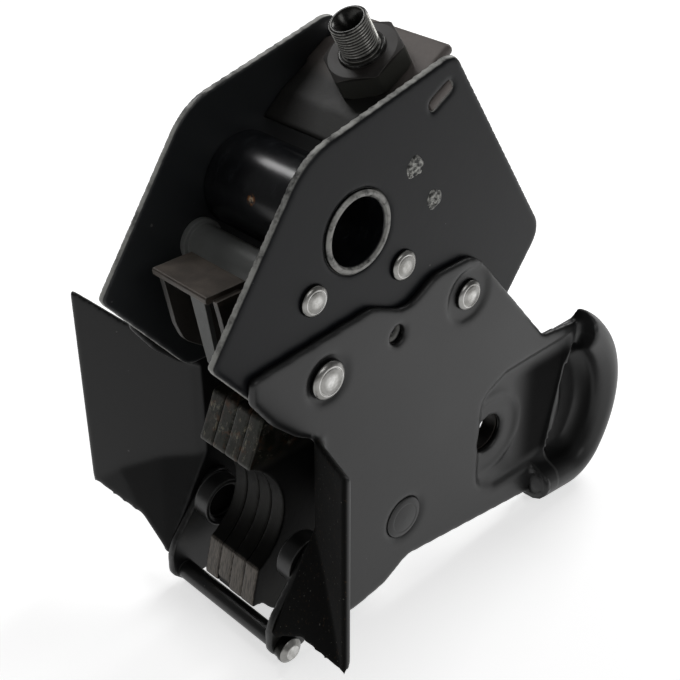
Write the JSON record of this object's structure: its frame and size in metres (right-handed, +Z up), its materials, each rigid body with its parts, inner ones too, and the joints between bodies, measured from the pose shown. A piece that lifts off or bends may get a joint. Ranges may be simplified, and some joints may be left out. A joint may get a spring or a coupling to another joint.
{
  "type": "cab tilt lock",
  "caption": "Hydraulic cab tilt lock: riveted sheet-steel housing with guide wings, rotary claw, pawl, trip lever, stop stirrup and release cylinder.",
  "frame": {"origin": "on the axis of the big mounting tube, half way between the side plates", "axes": "+X from the striker mouth towards the bolted rear end, +Y across the lock along the mounting tube, +Z up towards the hydraulic port"},
  "size_m": [0.2767, 0.193, 0.2935],
  "materials": {
    "black_paint": "satin black coating on pressed steel",
    "bare_steel": "bare, slightly worn steel",
    "dark_steel": "brown-black phosphated steel",
    "pack_steel": "oiled steel laminations",
    "plated_steel": "ground steel",
    "spring_steel": "oiled spring wire",
    "seal_rubber": "matt black rubber"
  },
  "bodies": {
    "frame": {"upper_plate_near": "black_paint", "upper_plate_far": "black_paint", "top_web": "dark_steel", "mounting_tube": "black_paint", "flange_spacer": "black_paint", "rear_spacer": "black_paint", "pawl_spacer_tube": "dark_steel", "lower_plate_near": "black_paint", "lower_plate_far": "black_paint", "upper_rivets": "bare_steel", "side_rivet": "bare_steel", "trip_rivet": "bare_steel", "claw_rivet": "black_paint", "stop_rivet": "bare_steel", "stop_arm_near": "black_paint", "stop_arm_far": "black_paint", "stop_bosses": "black_paint", "stop_tube": "black_paint", "bolt_bushes": "black_paint", "cylinder_body": "dark_steel", "lock_nut": "dark_steel", "cylinder_gland": "dark_steel", "rod_seal": "seal_rubber", "claw_spring": "spring_steel", "pawl_spring": "spring_steel", "trip_spring": "spring_steel"},
    "claw": {"claw_plate_1": "pack_steel", "claw_plate_2": "pack_steel", "claw_plate_3": "pack_steel", "claw_plate_4": "pack_steel", "claw_bush": "dark_steel", "claw_pack_rivets": "dark_steel"},
    "pawl": {"pawl_plate_near": "pack_steel", "pawl_plate_far": "pack_steel", "push_roller": "plated_steel", "pawl_distance_tube": "dark_steel", "pawl_pins": "dark_steel"},
    "trip": {"trip_lever": "dark_steel", "trip_bush": "dark_steel"},
    "piston": {"piston": "plated_steel", "piston_seal": "seal_rubber"}
  },
  "joints": [
    {"name": "claw_turn", "type": "hinge", "parent": "frame", "child": "claw", "pos_m": [0.03, 0, -0.17], "axis": [0, 1, 0], "range_deg": [0, 35], "stiffness_Nm_per_rad": 0.8, "springref_deg": -28.65, "deforming": ["claw_spring"]},
    {"name": "pawl_turn", "type": "hinge", "parent": "frame", "child": "pawl", "pos_m": [0.07, 0, -0.057], "axis": [0, -1, 0], "range_deg": [0, 5], "deforming": ["pawl_spring"]},
    {"name": "trip_turn", "type": "hinge", "parent": "frame", "child": "trip", "pos_m": [-0.0215, 0, -0.063], "axis": [0, 1, 0], "range_deg": [0, 8], "deforming": ["trip_spring"]},
    {"name": "piston_slide", "type": "slide", "parent": "frame", "child": "piston", "axis": [-0.5, 0, 0.866], "range_m": [0, 0.0029]}
  ],
  "couplings": [
    {"joint": "pawl_turn", "follows": "claw_turn", "ratio": 0.14286},
    {"joint": "trip_turn", "follows": "claw_turn", "ratio": 0.22857},
    {"joint": "piston_slide", "follows": "claw_turn", "m_per_rad": 0.0047}
  ]
}
